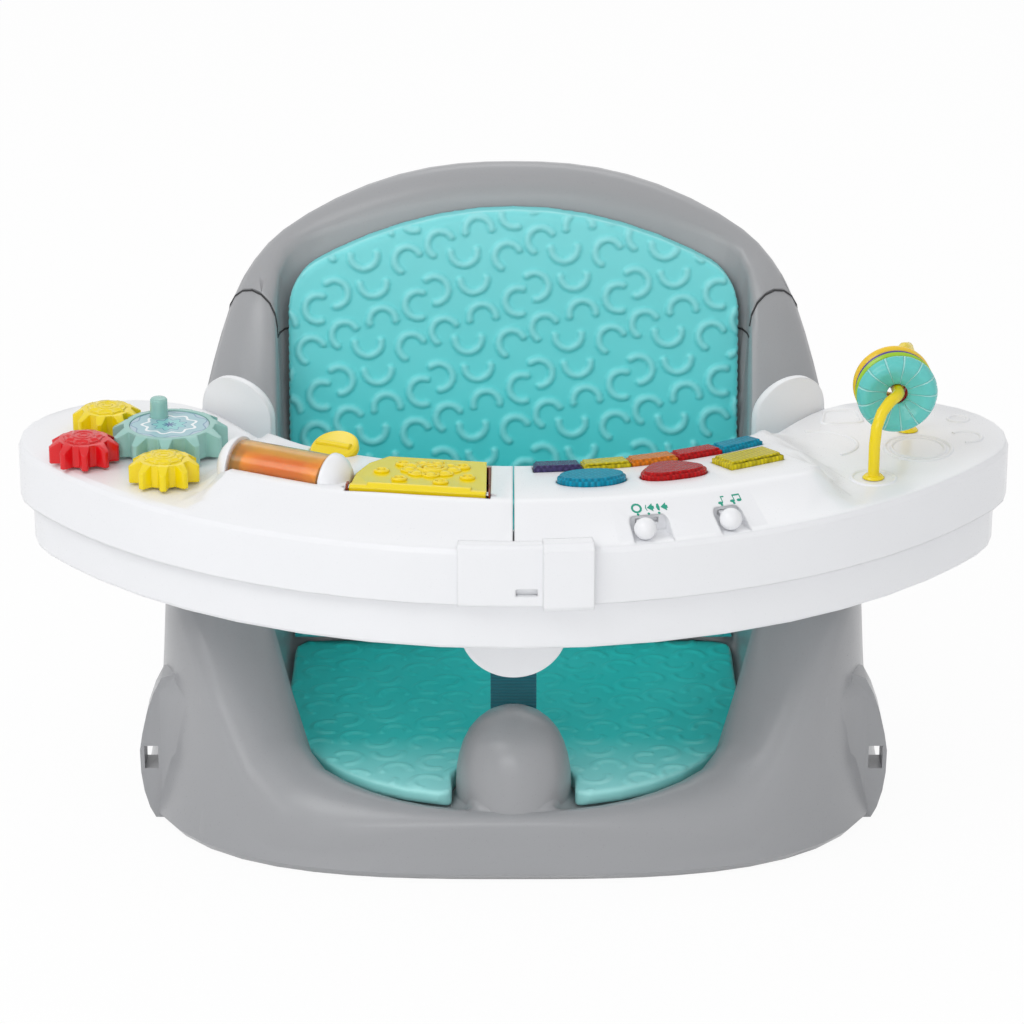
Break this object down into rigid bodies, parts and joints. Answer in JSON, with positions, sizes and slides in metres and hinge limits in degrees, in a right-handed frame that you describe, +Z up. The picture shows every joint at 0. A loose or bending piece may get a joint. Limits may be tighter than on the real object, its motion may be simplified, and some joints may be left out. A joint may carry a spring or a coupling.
{
  "type": "baby floor seat",
  "caption": "Bucket-shaped baby floor seat with foam pads, crotch post, wrap-round feeding tray and lift-off activity tray with meshing gears, roller, dial, flip door, keys and bead wire.",
  "frame": {"origin": "middle of the footprint, on the floor under the feet", "axes": "+Z up, -Y towards the front of the tray and the viewer, +X to the viewer's right, along the tray"},
  "size_m": [0.536, 0.374, 0.31],
  "materials": {
    "grey_plastic": "satin",
    "teal_foam": "matte",
    "white_plastic": "satin",
    "yellow_plastic": "gloss",
    "red_plastic": "gloss",
    "sea_green_plastic": "satin",
    "print_disc": "satin",
    "amber_clear": "gloss",
    "orange_core": "satin",
    "dark_red_plastic": "satin",
    "purple_clear": "gloss",
    "lemon_clear": "gloss",
    "orange_clear": "gloss",
    "red_clear": "gloss",
    "blue_clear": "gloss",
    "ring_teal": "satin",
    "ring_green": "gloss",
    "ring_purple": "gloss",
    "ring_orange": "gloss",
    "webbing": "matte",
    "steel": "satin",
    "dark_rubber": "matte",
    "board": "satin",
    "speaker": "matte",
    "cell": "satin"
  },
  "bodies": {
    "seat": {"base_shell": "grey_plastic", "back_shell_top": "grey_plastic", "seat_pad": "teal_foam", "back_pad": "teal_foam", "floor_feet": "dark_rubber", "crotch_strap": "webbing", "waist_strap_left": "webbing", "waist_strap_right": "webbing", "buckle": "white_plastic"},
    "feeding_tray": {"feeding_tray": "white_plastic", "tray_grip_left": "white_plastic", "tray_grip_right": "white_plastic", "tab_pin": "steel"},
    "release_tab": {"release_tab": "white_plastic"},
    "toy_tray": {"gear_tray_housing": "white_plastic", "gear_tray_cover": "white_plastic", "music_tray_housing": "white_plastic", "music_tray_cover": "white_plastic", "gear_axles": "white_plastic", "roller_axle": "steel", "dial_post": "white_plastic", "door_pin": "steel", "door_pocket": "dark_red_plastic", "circuit_board": "board", "speaker": "speaker", "batteries": "cell", "battery_door": "white_plastic", "tray_screws": "steel", "bead_wire": "yellow_plastic"},
    "front_clip": {"front_clip": "white_plastic"},
    "big_gear": {"big_gear": "sea_green_plastic", "gear_disc": "print_disc", "gear_knob": "sea_green_plastic"},
    "small_gear_back": {"small_gear_back": "yellow_plastic"},
    "small_gear_left": {"small_gear_left": "red_plastic"},
    "small_gear_front": {"small_gear_front": "yellow_plastic"},
    "roller": {"roller_barrel": "amber_clear", "roller_core": "orange_core"},
    "thumb_dial": {"thumb_dial": "yellow_plastic"},
    "flip_door": {"flip_door": "yellow_plastic"},
    "key_1": {"key_1": "purple_clear"},
    "key_2": {"key_2": "lemon_clear"},
    "key_3": {"key_3": "orange_clear"},
    "key_4": {"key_4": "red_clear"},
    "key_5": {"key_5": "blue_clear"},
    "button_oval": {"button_oval": "blue_clear"},
    "button_triangle": {"button_triangle": "red_clear"},
    "button_oblong": {"button_oblong": "lemon_clear"},
    "volume_switch": {"volume_switch": "white_plastic"},
    "mode_switch": {"mode_switch": "white_plastic"},
    "ring_teal": {"ring_teal": "ring_teal"},
    "ring_green": {"ring_green": "ring_green"},
    "ring_purple": {"ring_purple": "ring_purple"},
    "ring_yellow": {"ring_yellow": "ring_orange"},
    "bead_red": {"bead_red": "red_plastic"}
  },
  "joints": [
    {"name": "tray_slide", "type": "slide", "parent": "seat", "child": "feeding_tray", "axis": [0, -1, 0], "range_m": [0, 0.12]},
    {"name": "release_tab_hinge", "type": "hinge", "parent": "feeding_tray", "child": "release_tab", "pos_m": [0, -0.151, 0.157], "axis": [1, 0, 0], "range_deg": [0, 15], "stiffness_Nm_per_rad": 0.02, "springref_deg": -17.19},
    {"name": "toy_tray_lift", "type": "slide", "parent": "feeding_tray", "child": "toy_tray", "axis": [0, 0, 1], "range_m": [0, 0.06]},
    {"name": "front_clip_slide", "type": "slide", "parent": "toy_tray", "child": "front_clip", "axis": [0, -1, 0], "range_m": [0, 0.02]},
    {"name": "big_gear_spin", "type": "hinge", "parent": "toy_tray", "child": "big_gear", "pos_m": [-0.184, -0.039, 0.2096], "axis": [0, 0, 1], "continuous": true},
    {"name": "small_gear_back_spin", "type": "hinge", "parent": "toy_tray", "child": "small_gear_back", "pos_m": [-0.22039, -0.00847, 0.2096], "axis": [0, 0, 1], "continuous": true},
    {"name": "small_gear_left_spin", "type": "hinge", "parent": "toy_tray", "child": "small_gear_left", "pos_m": [-0.22834, -0.05602, 0.2096], "axis": [0, 0, 1], "continuous": true},
    {"name": "small_gear_front_spin", "type": "hinge", "parent": "toy_tray", "child": "small_gear_front", "pos_m": [-0.18317, -0.08649, 0.2096], "axis": [0, 0, 1], "continuous": true},
    {"name": "roller_spin", "type": "hinge", "parent": "toy_tray", "child": "roller", "pos_m": [-0.11885, -0.10025, 0.218], "axis": [0.8894, -0.4571, 0], "continuous": true},
    {"name": "thumb_dial_spin", "type": "hinge", "parent": "toy_tray", "child": "thumb_dial", "pos_m": [-0.09503, -0.05795, 0.217], "axis": [-0.1537, -0.3056, 0.9397], "continuous": true},
    {"name": "flip_door_hinge", "type": "hinge", "parent": "toy_tray", "child": "flip_door", "pos_m": [-0.04836, -0.1353, 0.2215], "axis": [0.9871, -0.1599, 0], "range_deg": [0, 110]},
    {"name": "key_1_press", "type": "slide", "parent": "toy_tray", "child": "key_1", "axis": [0.0111, -0.1065, -0.9943], "range_m": [0, 0.002], "stiffness_N_per_m": 250, "springref_m": -0.002},
    {"name": "key_2_press", "type": "slide", "parent": "toy_tray", "child": "key_2", "axis": [0.0234, -0.1045, -0.9943], "range_m": [0, 0.002], "stiffness_N_per_m": 250, "springref_m": -0.002},
    {"name": "key_3_press", "type": "slide", "parent": "toy_tray", "child": "key_3", "axis": [0.0355, -0.101, -0.9943], "range_m": [0, 0.002], "stiffness_N_per_m": 250, "springref_m": -0.002},
    {"name": "key_4_press", "type": "slide", "parent": "toy_tray", "child": "key_4", "axis": [0.047, -0.0962, -0.9943], "range_m": [0, 0.002], "stiffness_N_per_m": 250, "springref_m": -0.002},
    {"name": "key_5_press", "type": "slide", "parent": "toy_tray", "child": "key_5", "axis": [0.0579, -0.0901, -0.9943], "range_m": [0, 0.002], "stiffness_N_per_m": 250, "springref_m": -0.002},
    {"name": "button_oval_press", "type": "slide", "parent": "toy_tray", "child": "button_oval", "axis": [0.0175, -0.1056, -0.9943], "range_m": [0, 0.002], "stiffness_N_per_m": 300, "springref_m": -0.002},
    {"name": "button_triangle_press", "type": "slide", "parent": "toy_tray", "child": "button_triangle", "axis": [0.0356, -0.101, -0.9943], "range_m": [0, 0.002], "stiffness_N_per_m": 300, "springref_m": -0.002},
    {"name": "button_oblong_press", "type": "slide", "parent": "toy_tray", "child": "button_oblong", "axis": [0.0532, -0.0929, -0.9943], "range_m": [0, 0.002], "stiffness_N_per_m": 300, "springref_m": -0.002},
    {"name": "volume_switch_slide", "type": "slide", "parent": "toy_tray", "child": "volume_switch", "axis": [0.9728, 0.2317, 0], "range_m": [0, 0.008]},
    {"name": "mode_switch_slide", "type": "slide", "parent": "toy_tray", "child": "mode_switch", "axis": [0.9298, 0.3681, 0], "range_m": [0, 0.0032]},
    {"name": "ring_teal_spin", "type": "hinge", "parent": "toy_tray", "child": "ring_teal", "pos_m": [0.203, -0.0638, 0.2475], "axis": [-0.08, 0.9953, 0.055], "continuous": true},
    {"name": "ring_green_spin", "type": "hinge", "parent": "toy_tray", "child": "ring_green", "pos_m": [0.20225, -0.05444, 0.24802], "axis": [-0.08, 0.9953, 0.055], "continuous": true},
    {"name": "ring_purple_spin", "type": "hinge", "parent": "toy_tray", "child": "ring_purple", "pos_m": [0.20198, -0.05106, 0.2482], "axis": [-0.08, 0.9953, 0.055], "continuous": true},
    {"name": "ring_yellow_spin", "type": "hinge", "parent": "toy_tray", "child": "ring_yellow", "pos_m": [0.2017, -0.04768, 0.24839], "axis": [-0.08, 0.9953, 0.055], "continuous": true},
    {"name": "bead_red_spin", "type": "hinge", "parent": "toy_tray", "child": "bead_red", "pos_m": [0.20223, -0.05425, 0.24803], "axis": [-0.08, 0.9953, 0.055], "continuous": true}
  ],
  "couplings": [
    {"joint": "small_gear_back_spin", "follows": "big_gear_spin", "ratio": -1.2222},
    {"joint": "small_gear_left_spin", "follows": "big_gear_spin", "ratio": -1.2222},
    {"joint": "small_gear_front_spin", "follows": "big_gear_spin", "ratio": -1.2222}
  ]
}
